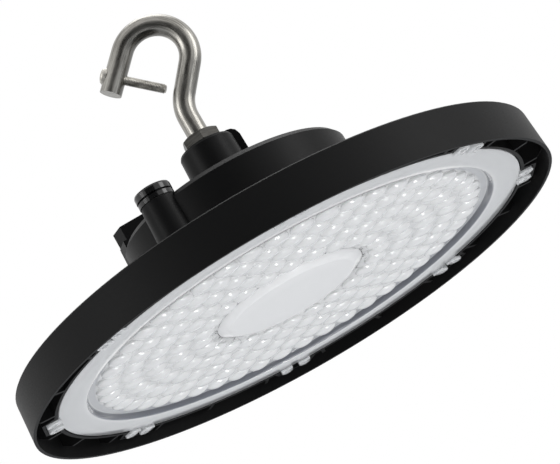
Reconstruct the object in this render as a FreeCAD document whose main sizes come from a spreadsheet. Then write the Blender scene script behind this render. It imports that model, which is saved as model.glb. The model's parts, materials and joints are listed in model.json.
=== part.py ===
import FreeCAD, Part
import math
import os
import Sketcher

# High bay light: finned housing, driver housing, hook and moulded lens cover.
# Origin: centre of the rim's lower edge. +Z up, -Y is the side of the sensor cap.

# Driving dimensions: lengths in millimetres, angles in degrees, counts as they are.
DIMENSIONS = {
    "rim_radius": 140.0,
    "rim_height": 21.0,
    "rim_wall": 1.6,
    "rim_draft": 3.0,
    "rim_bevel": 0.6,
    "ring_bore": 125.3,
    "ring_wall": 1.7,
    "ring_bottom": 3.9,
    "plate_bottom": 12.0,
    "plate_thick": 6.0,
    "ledge_width": 12.8,
    "fin_count": 24,
    "fin_thick": 2.0,
    "fin_foot": 7.0,
    "fin_step": 2.8,
    "fin_rise": 12.0,
    "fin_gap": 1.0,
    "short_fin_start": 84.0,
    "short_fin_drop": 3.0,
    "tab_count": 8,
    "tab_angle": 7.5,

    "drum_radius": 60.2,
    "drum_wall": 3.0,
    "drum_lid": 3.0,
    "drum_top": 62.7,
    "drum_bevel": 2.3,
    "gasket_thick": 1.0,
    "post_radius": 4.5,
    "post_height": 13.0,
    "post_circle": 53.2,
    "post_angle": 45.0,

    "socket_x": 31.9,
    "socket_y": 50.0,
    "boss_radius": 8.95,
    "boss_draft": 2.2,
    "socket_bore": 6.5,
    "cap_radius": 9.3,
    "cap_height": 3.8,
    "socket_flange": 2.2,
    "socket_depth": 12.0,
    "cap_groove": 0.9,
    "seal_thick": 0.6,

    "block_left": 59.8,
    "block_right": 37.0,
    "block_front": 14.5,
    "block_top": 73.6,
    "block_corner": 7.0,
    "block_bevel": 5.2,
    "cheek_left": 61.9,
    "cheek_top": 65.6,
    "cheek_run": 11.0,
    "cheek_bevel": 4.4,
    "cheek_draft": 2.0,

    "hub_radius": 15.2,
    "hub_top": 92.0,
    "hub_draft": 0.9,
    "hub_round": 1.8,
    "hub_spigot": 9.8,
    "hub_nut_width": 27.0,
    "hub_nut_thick": 6.0,
    "lug_reach": 18.4,
    "lug_top": 94.5,
    "lug_depth": 9.0,
    "lug_side": 2.0,

    "hook_rod": 11.0,
    "hook_eye": 17.2,
    "hook_centre": 144.1,
    "hook_shift": 0.6,
    "hook_slant": 51.8,
    "hook_bend": 20.0,
    "hook_open": 46.6,
    "hook_leg": 22.6,
    "hook_engage": 26.0,
    "lock_nut_width": 18.0,
    "lock_nut_thick": 6.0,
    "lock_nut_turn": 37.6,
    "screw_setback": 8.4,
    "screw_size": 4.8,
    "screw_length": 32.8,
    "screw_head": 9.0,
    "screw_head_thick": 3.6,

    "gland_z": 47.0,
    "gland_face": 62.4,
    "gland_pad": 12.5,
    "gland_flat_depth": 2.2,
    "gland_thread": 16.0,
    "gland_width": 20.0,
    "gland_collar": 5.0,
    "gland_nut_length": 13.0,
    "gland_cable": 8.0,
    "gland_nut_gap": 0.4,
    "locknut_width": 21.0,
    "locknut_thick": 4.0,

    "board_radius": 107.0,
    "board_thick": 1.6,
    "pad_thick": 0.4,
    "board_screw_circle": 34.5,
    "board_screw_angle": 14.0,
    "board_screw_size": 3.0,
    "lead_x": 36.0,
    "lead_hole": 8.0,
    "lead_size": 1.6,
    "lead_pitch": 2.2,

    "flange_radius": 124.8,
    "flange_bottom": 3.95,
    "flange_thick": 2.0,
    "step_radius": 110.0,
    "step_draft": 1.2,
    "window_bottom": 6.8,
    "window_thick": 1.6,
    "disc_radius": 39.5,
    "disc_slope": 6.0,
    "disc_drop": 2.4,
    "lens_pitch": 12.4,
    "lens_circle": 98.0,
    "lens_radius": 5.7,
    "lens_drop": 2.9,
    "tab_width": 17.0,
    "tab_reach": 131.6,
    "tab_bottom": 2.7,
    "tab_height": 4.2,
    "tab_rib": 1.5,
    "tab_bevel": 1.1,
    "lobe_width": 6.6,
    "lobe_gap": 2.2,
    "lens_gasket_in": 114.5,
    "lens_gasket_out": 122.5,
    "lens_gasket_thick": 1.5,

    "module_long": 58.0,
    "module_wide": 46.0,
    "module_tall": 26.0,
    "module_shift": 3.0,
    "module_ear": 8.0,
    "module_ear_thick": 2.5,
    "m4_hole": 4.4,
    "m4_head": 7.0,
    "m4_head_thick": 2.8,
    "fit_gap": 0.3,
    "thread_gap": 0.1,
    "overlap": 0.5,
}

doc = FreeCAD.newDocument("high_bay_light")
sheet = doc.addObject("Spreadsheet::Sheet", "dims")


class Size:
    """A length or angle kept as a number and as the expression that drives it."""

    def __init__(self, text, value):
        self.text = text
        self.value = float(value)

    def __add__(self, other):
        other = as_size(other)
        return Size("(%s + %s)" % (self.text, other.text), self.value + other.value)

    def __radd__(self, other):
        return as_size(other) + self

    def __sub__(self, other):
        other = as_size(other)
        return Size("(%s - %s)" % (self.text, other.text), self.value - other.value)

    def __rsub__(self, other):
        return as_size(other) - self

    def __mul__(self, other):
        other = as_size(other)
        return Size("(%s * %s)" % (self.text, other.text), self.value * other.value)

    def __rmul__(self, other):
        return as_size(other) * self

    def __truediv__(self, other):
        other = as_size(other)
        return Size("(%s / %s)" % (self.text, other.text), self.value / other.value)

    def __rtruediv__(self, other):
        return as_size(other) / self

    def __neg__(self):
        return Size("(0 - %s)" % self.text, -self.value)


def as_size(value):
    if isinstance(value, Size):
        return value
    return Size(repr(float(value)), value)


def sin_of(angle):
    return Size("sin(%s * 1 deg)" % angle.text, math.sin(math.radians(angle.value)))


def cos_of(angle):
    return Size("cos(%s * 1 deg)" % angle.text, math.cos(math.radians(angle.value)))


def tan_of(angle):
    return Size("tan(%s * 1 deg)" % angle.text, math.tan(math.radians(angle.value)))


class Dimensions:
    """The driving dimensions by name, each bound to its cell in the sheet."""


dims = Dimensions()
for row, (alias, value) in enumerate(DIMENSIONS.items(), 1):
    sheet.set("A%d" % row, alias)
    sheet.set("B%d" % row, str(value))
    sheet.setAlias("B%d" % row, alias)
    setattr(dims, alias, Size("dims.%s" % alias, value))

plate_top = dims.plate_bottom + dims.plate_thick
ring_outer = dims.ring_bore + dims.ring_wall
ledge_bottom = dims.flange_bottom + dims.flange_thick + dims.lens_gasket_thick
drum_base = plate_top + dims.gasket_thick
drum_ceiling = dims.drum_top - dims.drum_lid
boss_low = dims.boss_radius + (dims.drum_top - drum_base) * tan_of(dims.boss_draft)
fin_start = dims.cheek_left + dims.fin_gap
drum_inner = dims.drum_radius - dims.drum_wall
gland_flat = drum_inner - dims.gland_flat_depth
rim_inner = dims.rim_radius - dims.rim_wall
rim_lean = dims.rim_height * tan_of(dims.rim_draft)
fin_top_low = dims.rim_height - 0.8
zero = as_size(0)


# ------------------------------------------------------------------- helpers
def origin_plane(body, role):
    for feature in body.Origin.OriginFeatures:
        if feature.Role == role:
            return feature
    raise RuntimeError(role)


def new_body(label):
    body = doc.addObject("PartDesign::Body", label + "_body")
    body.Label = label
    return body


def new_sketch(body, name, role="XZ_Plane", lift=None, turn=None, about="z", x=None):
    sketch = body.newObject("Sketcher::SketchObject", name)
    sketch.AttachmentSupport = [(origin_plane(body, role), "")]
    sketch.MapMode = "FlatFace"
    if turn is not None:
        axis = FreeCAD.Vector(0, 0, 1)
        if about == "y":
            axis = FreeCAD.Vector(0, 1, 0)
        rotation = FreeCAD.Rotation(axis, turn.value)
        sketch.AttachmentOffset = FreeCAD.Placement(FreeCAD.Vector(), rotation)
        sketch.setExpression("AttachmentOffset.Rotation.Angle", turn.text)
    if lift is not None:
        sketch.setExpression("AttachmentOffset.Base.z", as_size(lift).text)
    if x is not None:
        sketch.setExpression("AttachmentOffset.Base.x", as_size(x).text)
    return sketch


def rule_for(geo, point, along, size):
    """The constraint that ties one point to the sketch's origin, and its expression."""
    size = as_size(size)
    kind = "Distance" + along
    if abs(size.value) < 1e-9:
        axis = -2 if along == "X" else -1
        return Sketcher.Constraint("PointOnObject", geo, point, axis), None
    if size.value > 0:
        return Sketcher.Constraint(kind, -1, 1, geo, point, size.value), size.text
    rule = Sketcher.Constraint(kind, geo, point, -1, 1, -size.value)
    return rule, "0 - %s" % size.text


def tie(sketch, rules):
    """Add the constraints together, then bind each one to its expression."""
    first = sketch.ConstraintCount
    sketch.addConstraint([rule for rule, text in rules])
    for index, (rule, text) in enumerate(rules):
        if text is not None:
            sketch.setExpression("Constraints[%d]" % (first + index), text)


def hold(sketch, geo, point, along, size):
    tie(sketch, [rule_for(geo, point, along, size)])


def outline(sketch, *loops):
    """Draw closed polygons whose corners are all driven sizes."""
    lines = []
    rules = []
    first = sketch.GeometryCount
    for loop in loops:
        points = [(as_size(x), as_size(y)) for x, y in loop]
        total = len(points)
        base = first + len(lines)
        for i in range(total):
            start = points[i]
            end = points[(i + 1) % total]
            lines.append(Part.LineSegment(
                FreeCAD.Vector(start[0].value, start[1].value, 0),
                FreeCAD.Vector(end[0].value, end[1].value, 0)))
            following = base + (i + 1) % total
            rules.append((Sketcher.Constraint("Coincident", base + i, 2, following, 1), None))
            rules.append(rule_for(base + i, 1, "X", start[0]))
            rules.append(rule_for(base + i, 1, "Y", start[1]))
    sketch.addGeometry(lines, False)
    tie(sketch, rules)


def ring(sketch, x, y, radius):
    x = as_size(x)
    y = as_size(y)
    radius = as_size(radius)
    centre = FreeCAD.Vector(x.value, y.value, 0)
    geo = sketch.addGeometry(Part.Circle(centre, FreeCAD.Vector(0, 0, 1), radius.value))
    hold(sketch, geo, 3, "X", x)
    hold(sketch, geo, 3, "Y", y)
    index = sketch.addConstraint(Sketcher.Constraint("Radius", geo, radius.value))
    sketch.setExpression("Constraints[%d]" % index, radius.text)


def revolve(body, name, points, cut=False, x=None, y=None):
    """Turn a profile of (radius, height) about the vertical line through x, y."""
    lift = None if y is None else -as_size(y)
    sketch = new_sketch(body, name + "_profile", x=x, lift=lift)
    outline(sketch, points)
    kind = "PartDesign::Groove" if cut else "PartDesign::Revolution"
    feature = body.newObject(kind, name)
    feature.Profile = sketch
    feature.ReferenceAxis = (sketch, ["V_Axis"])
    feature.Angle = 360
    body.Tip = feature
    doc.recompute()
    return feature


def pad(body, sketch, name, length, both=False, reverse=False, taper=None):
    feature = body.newObject("PartDesign::Pad", name)
    feature.Profile = sketch
    feature.setExpression("Length", as_size(length).text)
    feature.Midplane = both
    feature.Reversed = reverse
    if taper is not None:
        feature.setExpression("TaperAngle", taper.text)
    body.Tip = feature
    doc.recompute()
    return feature


def pocket(body, sketch, name, length, reverse=False, both=False):
    before = body.Shape.Volume
    feature = body.newObject("PartDesign::Pocket", name)
    feature.Profile = sketch
    feature.setExpression("Length", as_size(length).text)
    feature.Midplane = both
    feature.Reversed = reverse
    body.Tip = feature
    doc.recompute()
    if not body.Shape.Volume < before - 1e-6:
        raise RuntimeError("nothing cut by " + name)
    return feature


def around(body, name, features, count, refine=True):
    pattern = body.newObject("PartDesign::PolarPattern", name)
    pattern.Originals = features
    pattern.Axis = (origin_plane(body, "Z_Axis"), [""])
    pattern.Angle = 360
    pattern.Refine = refine
    pattern.setExpression("Occurrences", as_size(count).text)
    body.Tip = pattern
    doc.recompute()
    return pattern


def place(body, x=None, y=None, z=None):
    for letter, size in (("x", x), ("y", y), ("z", z)):
        if size is not None:
            body.setExpression("Placement.Base." + letter, as_size(size).text)


def point_along_y(body, z, y):
    """Turn a body built along Z so that it points along +Y."""
    turn = FreeCAD.Rotation(FreeCAD.Vector(1, 0, 0), -90)
    body.Placement = FreeCAD.Placement(FreeCAD.Vector(), turn)
    place(body, y=y, z=z)


def hexagon(width, turn, x=0, y=0):
    reach = width / (2 * cos_of(as_size(30)))
    corners = []
    for i in range(6):
        angle = turn + 60 * i
        corners.append((x + reach * cos_of(angle), y + reach * sin_of(angle)))
    return corners


def hex_nut(label, width, bore, thick, turn, bevel):
    """A hexagon nut standing on z = 0, with both faces bevelled."""
    body = new_body(label)
    sketch = new_sketch(body, label + "_hexagon", "XY_Plane")
    outline(sketch, hexagon(width, turn))
    ring(sketch, 0, 0, bore)
    pad(body, sketch, label + "_block", thick)
    inner = width / 2 - bevel / 2
    outer = width * 0.7
    drop = (outer - inner) * 0.577
    revolve(body, label + "_bevel_top",
            [(inner, thick), (outer, thick), (outer, thick - drop)], cut=True)
    revolve(body, label + "_bevel_foot",
            [(inner, 0), (outer, 0), (outer, drop)], cut=True)
    return body


def screw_form(size, length, head, head_thick, seat, up=True):
    """Half outline of a pan head screw whose head seats at the height given."""
    way = 1 if up else -1
    return [
        (0, seat - way * head_thick), (head * 0.28, seat - way * head_thick),
        (head / 2, seat - way * head_thick * 0.45), (head / 2, seat),
        (size / 2, seat), (size / 2, seat + way * (length - size * 0.2)),
        (size * 0.3, seat + way * length), (0, seat + way * length)]


# ------------------------------------------------------- heat_sink_housing
housing = new_body("heat_sink_housing")
revolve(housing, "housing_plate", [
    (0, dims.plate_bottom), (dims.ring_bore - dims.ledge_width, dims.plate_bottom),
    (dims.ring_bore - dims.ledge_width, ledge_bottom), (dims.ring_bore, ledge_bottom),
    (dims.ring_bore, dims.ring_bottom), (ring_outer, dims.ring_bottom),
    (ring_outer, plate_top), (0, plate_top)])

fin_end = rim_inner - 0.1
fin_sketch = new_sketch(housing, "fin_profile")
outline(fin_sketch, [
    (ring_outer - dims.overlap, dims.ring_bottom), (ring_outer + dims.fin_foot, dims.ring_bottom),
    (fin_end, dims.ring_bottom + dims.fin_step), (fin_end, fin_top_low),
    (fin_start, fin_top_low + dims.fin_rise), (fin_start, plate_top - dims.overlap),
    (ring_outer - dims.overlap, plate_top - dims.overlap)])
fin = pad(housing, fin_sketch, "fin", dims.fin_thick, both=True)
around(housing, "fins", [fin], dims.fin_count)

slope = dims.fin_rise / (fin_end - fin_start)
short_end = ring_outer - 2 * dims.ring_wall
short_high = fin_top_low + slope * (fin_end - dims.short_fin_start) - dims.short_fin_drop
short_low = fin_top_low + slope * (fin_end - short_end) - dims.short_fin_drop
short_sketch = new_sketch(housing, "short_fin_profile", turn=180 / dims.fin_count, about="y")
outline(short_sketch, [
    (dims.short_fin_start, plate_top - dims.overlap), (short_end, plate_top - dims.overlap),
    (short_end, short_low), (dims.short_fin_start, short_high)])
short_fin = pad(housing, short_sketch, "short_fin", dims.fin_thick, both=True)
around(housing, "short_fins", [short_fin], dims.fin_count)

relief_sketch = new_sketch(housing, "boss_relief_form", "XY_Plane", lift=plate_top)
ring(relief_sketch, -dims.socket_x, -dims.socket_y, boss_low + dims.fin_gap)
pocket(housing, relief_sketch, "boss_relief", dims.fin_rise + dims.rim_height - plate_top + 1,
       reverse=True)

revolve(housing, "rim", [
    (rim_inner, 0), (dims.rim_radius, 0), (dims.rim_radius - rim_lean, dims.rim_height - dims.rim_bevel),
    (dims.rim_radius - rim_lean - dims.rim_bevel, dims.rim_height),
    (rim_inner - rim_lean, dims.rim_height)])

pocket_half = dims.tab_width / 2 + dims.fit_gap
pocket_end = dims.tab_reach + dims.fit_gap
seat_sketch = new_sketch(housing, "tab_seat_form", "XY_Plane", lift=dims.ring_bottom,
                         turn=dims.tab_angle)
outline(seat_sketch, [
    (ring_outer - dims.overlap, -(pocket_half + 3.4)), (pocket_end + 1.4, -(pocket_half + 0.9)),
    (pocket_end + 1.4, pocket_half + 0.9), (ring_outer - dims.overlap, pocket_half + 3.4)])
seat = pad(housing, seat_sketch, "tab_seat", dims.plate_bottom - dims.ring_bottom)
around(housing, "tab_seats", [seat], dims.tab_count)
notch_sketch = new_sketch(housing, "tab_notch_form", "XY_Plane", lift=dims.ring_bottom,
                          turn=dims.tab_angle)
outline(notch_sketch, [
    (dims.ring_bore - dims.overlap, -pocket_half), (pocket_end, -pocket_half),
    (pocket_end, pocket_half), (dims.ring_bore - dims.overlap, pocket_half)])
notch = pocket(housing, notch_sketch, "tab_notch",
               dims.tab_bottom + dims.tab_height + dims.fit_gap - dims.ring_bottom, reverse=True)
around(housing, "tab_notches", [notch], dims.tab_count)

post_x = dims.post_circle * cos_of(dims.post_angle)
post_y = dims.post_circle * sin_of(dims.post_angle)
post_sketch = new_sketch(housing, "housing_screw_hole_form", "XY_Plane", lift=dims.plate_bottom)
ring(post_sketch, post_x, post_y, dims.m4_hole / 2)
hole = pocket(housing, post_sketch, "housing_screw_hole", dims.plate_thick, reverse=True)
sink_sketch = new_sketch(housing, "housing_screw_sink_form", "XY_Plane", lift=dims.plate_bottom)
ring(sink_sketch, post_x, post_y, dims.m4_head / 2 + dims.fit_gap)
sink = pocket(housing, sink_sketch, "housing_screw_sink", dims.m4_head_thick + dims.fit_gap, reverse=True)
around(housing, "housing_screw_holes", [hole, sink], 4)
board_screw_x = dims.board_screw_circle * cos_of(dims.board_screw_angle)
board_screw_y = dims.board_screw_circle * sin_of(dims.board_screw_angle)
tap_sketch = new_sketch(housing, "board_screw_hole_form", "XY_Plane", lift=dims.plate_bottom)
ring(tap_sketch, board_screw_x, board_screw_y, dims.board_screw_size / 2 + 0.1)
tap = pocket(housing, tap_sketch, "board_screw_hole", dims.plate_thick - 1, reverse=True)
around(housing, "board_screw_holes", [tap], 4)
lead_sketch = new_sketch(housing, "lead_hole_form", "XY_Plane", lift=dims.plate_bottom)
ring(lead_sketch, dims.lead_x, 0, dims.lead_hole / 2)
pocket(housing, lead_sketch, "lead_way", dims.plate_thick, reverse=True)
ear_y = dims.module_wide / 2 + dims.module_ear / 2
ear_sketch = new_sketch(housing, "module_hole_form", "XY_Plane", lift=plate_top)
ring(ear_sketch, -dims.module_shift, ear_y, dims.m4_hole / 2)
ring(ear_sketch, -dims.module_shift, -ear_y, dims.m4_hole / 2)
pocket(housing, ear_sketch, "module_holes", dims.plate_thick - 1.5)

# ----------------------------------------------------------- driver_housing
drum = new_body("driver_housing")
revolve(drum, "drum", [
    (0, drum_base), (dims.drum_radius, drum_base),
    (dims.drum_radius, dims.drum_top - dims.drum_bevel),
    (dims.drum_radius - dims.drum_bevel * 0.85, dims.drum_top),
    (0, dims.drum_top)])
revolve(drum, "socket_boss", [
    (0, drum_base), (boss_low, drum_base), (dims.boss_radius, dims.drum_top), (0, dims.drum_top)],
    x=-dims.socket_x, y=-dims.socket_y)
block_sketch = new_sketch(drum, "entry_block_form", "XY_Plane", lift=dims.drum_top - 1)
block_cut = dims.block_front - dims.block_corner
outline(block_sketch, [
    (-dims.block_left, -block_cut), (dims.block_bevel - dims.block_left, -dims.block_front),
    (-dims.block_right, -dims.block_front), (-dims.block_right, dims.block_front),
    (dims.block_bevel - dims.block_left, dims.block_front), (-dims.block_left, block_cut)])
pad(drum, block_sketch, "entry_block", dims.block_top - dims.drum_top + 1)
cheek_sketch = new_sketch(drum, "cheek_form", "XY_Plane", lift=drum_base)
cheek_wide = block_cut + dims.cheek_run
outline(cheek_sketch, [
    (-dims.cheek_left, -block_cut), (dims.cheek_bevel - dims.cheek_left, -cheek_wide),
    (-dims.block_right, -cheek_wide), (-dims.block_right, cheek_wide),
    (dims.cheek_bevel - dims.cheek_left, cheek_wide), (-dims.cheek_left, block_cut)])
pad(drum, cheek_sketch, "cheek", dims.cheek_top - drum_base, taper=-dims.cheek_draft)
gland_sketch = new_sketch(drum, "gland_pad_form", "XZ_Plane")
ring(gland_sketch, 0, dims.gland_z, dims.gland_pad)
pad(drum, gland_sketch, "gland_seat", dims.gland_face, reverse=True)
revolve(drum, "drum_hollow", [
    (0, drum_base), (drum_inner, drum_base), (drum_inner, drum_ceiling),
    (0, drum_ceiling)], cut=True)
flat_sketch = new_sketch(drum, "gland_flat_form", "XZ_Plane", lift=-gland_flat)
ring(flat_sketch, 0, dims.gland_z, dims.gland_pad)
pad(drum, flat_sketch, "gland_flat", drum_inner - gland_flat, reverse=True)
pillar_sketch = new_sketch(drum, "post_form", "XY_Plane", lift=drum_base)
ring(pillar_sketch, post_x, post_y, dims.post_radius)
pillar = pad(drum, pillar_sketch, "post", dims.post_height)
bore_sketch = new_sketch(drum, "post_bore_form", "XY_Plane", lift=drum_base)
ring(bore_sketch, post_x, post_y, dims.m4_hole / 2 - 0.1)
bore = pocket(drum, bore_sketch, "post_bore", dims.post_height - 2, reverse=True)
around(drum, "posts", [pillar, bore], 4)
hub_hole_sketch = new_sketch(drum, "hub_hole_form", "XY_Plane", lift=drum_ceiling)
ring(hub_hole_sketch, 0, 0, dims.hub_spigot + 0.2)
pocket(drum, hub_hole_sketch, "hub_hole", dims.drum_lid, reverse=True)
socket_hole_sketch = new_sketch(drum, "socket_hole_form", "XY_Plane", lift=dims.drum_top)
ring(socket_hole_sketch, -dims.socket_x, -dims.socket_y, dims.socket_bore)
pocket(drum, socket_hole_sketch, "socket_hole", dims.socket_depth + 1)
gland_hole_sketch = new_sketch(drum, "gland_hole_form", "XZ_Plane")
ring(gland_hole_sketch, 0, dims.gland_z, dims.gland_thread / 2 + 0.2)
pocket(drum, gland_hole_sketch, "gland_hole", dims.gland_face + 1)

# ----------------------------------------------------------- housing_gasket
gasket = new_body("housing_gasket")
revolve(gasket, "gasket_ring", [
    (drum_inner, plate_top), (dims.drum_radius, plate_top),
    (dims.drum_radius, drum_base), (drum_inner, drum_base)])

# ----------------------------------------------------------------- hook_hub
hub = new_body("hook_hub")
rod_bore = dims.hook_rod / 2 + dims.thread_gap
hook_foot = dims.hub_top - dims.hook_engage
hub_upper = dims.hub_radius - dims.hub_draft
hub_low = drum_ceiling - dims.hub_nut_thick - 1
revolve(hub, "hub", [
    (0, hub_low), (dims.hub_spigot, hub_low), (dims.hub_spigot, dims.drum_top),
    (dims.hub_radius, dims.drum_top), (hub_upper, dims.hub_top - dims.hub_round),
    (hub_upper - dims.hub_round * 0.35, dims.hub_top - dims.hub_round * 0.3),
    (hub_upper - dims.hub_round, dims.hub_top), (rod_bore, dims.hub_top),
    (rod_bore, hook_foot - 1), (0, hook_foot - 1)])
lug_root = dims.lock_nut_width * 0.62
lug_sketch = new_sketch(hub, "lug_form", lift=-dims.lug_side)
outline(lug_sketch, [
    (lug_root, dims.drum_top), (dims.lug_reach, dims.drum_top), (dims.lug_reach - 0.6, dims.lug_top - 4.8),
    (dims.lug_reach - 1.6, dims.lug_top - 2.0), (dims.lug_reach - 3.4, dims.lug_top - 0.5),
    (dims.lug_reach - 5.4, dims.lug_top), (lug_root, dims.lug_top)])
pad(hub, lug_sketch, "lug", dims.lug_depth, reverse=True)

# -------------------------------------------------------- hub_retaining_nut
hub_nut = hex_nut("hub_retaining_nut", dims.hub_nut_width, dims.hub_spigot + dims.thread_gap,
                  dims.hub_nut_thick, zero, as_size(1.0))
place(hub_nut, z=drum_ceiling - dims.hub_nut_thick)

# ---------------------------------------------------------- suspension_hook
hook = new_body("suspension_hook")
slant_x = cos_of(dims.hook_slant)
slant_z = sin_of(dims.hook_slant)
low_x = dims.hook_shift + dims.hook_eye * slant_z
low_z = dims.hook_centre - dims.hook_eye * slant_x
run = low_x / slant_x
cross_z = low_z - run * slant_z
tangent = dims.hook_bend * tan_of((90 - dims.hook_slant) / 2)
bend_x = tangent * slant_x
bend_z = cross_z + tangent * slant_z
leg_x = dims.hook_shift - dims.hook_eye * sin_of(dims.hook_open)
leg_z = dims.hook_centre + dims.hook_eye * cos_of(dims.hook_open)
tip_x = leg_x - dims.hook_leg * cos_of(dims.hook_open)
tip_z = leg_z - dims.hook_leg * sin_of(dims.hook_open)

path = new_sketch(hook, "hook_path")
knots = [(zero, hook_foot), (zero, cross_z - tangent), (bend_x, bend_z), (low_x, low_z),
         (leg_x, leg_z), (tip_x, tip_z)]


def spot(knot):
    return FreeCAD.Vector(knot[0].value, knot[1].value, 0)


def arc_between(sketch, centre_x, centre_z, radius, start, end):
    centre = FreeCAD.Vector(centre_x.value, centre_z.value, 0)
    first = math.atan2(start[1].value - centre.y, start[0].value - centre.x)
    last = math.atan2(end[1].value - centre.y, end[0].value - centre.x)
    circle = Part.Circle(centre, FreeCAD.Vector(0, 0, 1), radius.value)
    geo = sketch.addGeometry(Part.ArcOfCircle(circle, first, last))
    index = sketch.addConstraint(Sketcher.Constraint("Radius", geo, radius.value))
    sketch.setExpression("Constraints[%d]" % index, radius.text)
    return geo


stem = path.addGeometry(Part.LineSegment(spot(knots[0]), spot(knots[1])))
slant = path.addGeometry(Part.LineSegment(spot(knots[2]), spot(knots[3])))
leg = path.addGeometry(Part.LineSegment(spot(knots[4]), spot(knots[5])))
for geo, point, knot in ((stem, 1, 0), (stem, 2, 1), (slant, 1, 2), (slant, 2, 3),
                         (leg, 1, 4), (leg, 2, 5)):
    hold(path, geo, point, "X", knots[knot][0])
    hold(path, geo, point, "Y", knots[knot][1])
lower = arc_between(path, dims.hook_bend, cross_z - tangent, dims.hook_bend, knots[2], knots[1])
upper = arc_between(path, dims.hook_shift, dims.hook_centre, dims.hook_eye, knots[3], knots[4])
path.addConstraint(Sketcher.Constraint("Coincident", lower, 2, stem, 2))
path.addConstraint(Sketcher.Constraint("Coincident", lower, 1, slant, 1))
path.addConstraint(Sketcher.Constraint("Coincident", upper, 1, slant, 2))
path.addConstraint(Sketcher.Constraint("Coincident", upper, 2, leg, 1))
rod_sketch = new_sketch(hook, "hook_section", "XY_Plane", lift=hook_foot)
ring(rod_sketch, 0, 0, dims.hook_rod / 2)
doc.recompute()
pipe = hook.newObject("PartDesign::AdditivePipe", "hook_rod_form")
pipe.Profile = rod_sketch
pipe.Spine = path
hook.Tip = pipe
doc.recompute()
screw_run = dims.hook_leg - dims.screw_setback
screw_x = leg_x - screw_run * cos_of(dims.hook_open)
screw_z = leg_z - screw_run * sin_of(dims.hook_open)
cross_sketch = new_sketch(hook, "cross_hole_form", "XY_Plane", turn=180 - dims.hook_open,
                          about="y", x=screw_x, lift=screw_z)
ring(cross_sketch, 0, 0, dims.screw_size / 2 + dims.thread_gap)
pocket(hook, cross_sketch, "cross_hole", dims.hook_rod + 4, both=True)

# ------------------------------------------------------------ hook_lock_nut
lock_nut = hex_nut("hook_lock_nut", dims.lock_nut_width, rod_bore, dims.lock_nut_thick,
                   dims.lock_nut_turn, as_size(0.8))
place(lock_nut, z=dims.hub_top)

# ------------------------------------------------------- hook_locking_screw
lock_screw = new_body("hook_locking_screw")
revolve(lock_screw, "locking_screw", screw_form(
    dims.screw_size, dims.screw_length, dims.screw_head, dims.screw_head_thick, -(dims.hook_rod / 2)))
slot_sketch = new_sketch(lock_screw, "recess_form", "XY_Plane",
                         lift=-(dims.hook_rod / 2 + dims.screw_head_thick))
arm = dims.screw_head * 0.26
half = dims.screw_head * 0.075
outline(slot_sketch, [
    (arm, -half), (arm, half), (half, half), (half, arm), (-half, arm), (-half, half),
    (-arm, half), (-arm, -half), (-half, -half), (-half, -arm), (half, -arm),
    (half, -half)])
pocket(lock_screw, slot_sketch, "recess", dims.screw_head_thick * 0.5, reverse=True)
lean = FreeCAD.Rotation(FreeCAD.Vector(0, 1, 0), (180 - dims.hook_open).value)
lock_screw.Placement = FreeCAD.Placement(FreeCAD.Vector(), lean)
lock_screw.setExpression("Placement.Rotation.Angle", (180 - dims.hook_open).text)
place(lock_screw, x=screw_x, z=screw_z)

# ---------------------------------------------------------- control port set
seal_top = dims.drum_top + dims.seal_thick
flange_top = seal_top + dims.socket_flange
cap_foot = flange_top + dims.cap_groove
port_seal = new_body("port_seal")
revolve(port_seal, "port_seal_ring", [
    (dims.socket_bore, dims.drum_top), (dims.cap_radius - 0.6, dims.drum_top),
    (dims.cap_radius - 0.6, seal_top), (dims.socket_bore, seal_top)])
place(port_seal, x=-dims.socket_x, y=-dims.socket_y)

port_body = new_body("control_port")
port_neck = dims.cap_radius - 1.6
revolve(port_body, "control_port_form", [
    (0, dims.drum_top - dims.socket_depth),
    (dims.socket_bore - dims.fit_gap, dims.drum_top - dims.socket_depth),
    (dims.socket_bore - dims.fit_gap, seal_top), (dims.cap_radius - 0.1, seal_top),
    (dims.cap_radius - 0.1, flange_top), (port_neck, flange_top), (port_neck, cap_foot),
    (0, cap_foot)])
place(port_body, x=-dims.socket_x, y=-dims.socket_y)

port_cap = new_body("port_cap")
cap_top = cap_foot + dims.cap_height
revolve(port_cap, "port_cap_form", [
    (0, cap_foot), (dims.cap_radius, cap_foot), (dims.cap_radius, cap_top - 1.2),
    (dims.cap_radius - 0.35, cap_top - 0.35), (dims.cap_radius - 1.2, cap_top), (0, cap_top)])
place(port_cap, x=-dims.socket_x, y=-dims.socket_y)

# --------------------------------------------------------- cable gland set
gland_in = dims.gland_face - gland_flat + dims.locknut_thick + 3
gland_body = new_body("cable_gland_body")
collar_sketch = new_sketch(gland_body, "collar_form", "XY_Plane")
outline(collar_sketch, hexagon(dims.gland_width, zero))
pad(gland_body, collar_sketch, "collar", dims.gland_collar)
gland_bore = dims.gland_cable / 2 + 2.2
revolve(gland_body, "gland_tube", [
    (0, -gland_in), (dims.gland_thread / 2, -gland_in), (dims.gland_thread / 2, 0.2),
    (dims.gland_thread / 2, dims.gland_collar + 8), (0, dims.gland_collar + 8)])
revolve(gland_body, "gland_way", [
    (0, -(gland_in + 1)), (dims.gland_cable / 2 + 0.6, -(gland_in + 1)),
    (dims.gland_cable / 2 + 0.6, dims.gland_collar), (gland_bore, dims.gland_collar),
    (gland_bore, dims.gland_collar + 9), (0, dims.gland_collar + 9)], cut=True)
point_along_y(gland_body, dims.gland_z, dims.gland_face)

gland_seal = new_body("cable_gland_seal")
revolve(gland_seal, "gland_seal_ring", [
    (dims.gland_cable / 2, dims.gland_collar), (gland_bore, dims.gland_collar),
    (gland_bore, dims.gland_collar + 9.4), (dims.gland_cable / 2, dims.gland_collar + 9.4)])
point_along_y(gland_seal, dims.gland_z, dims.gland_face)

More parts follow.
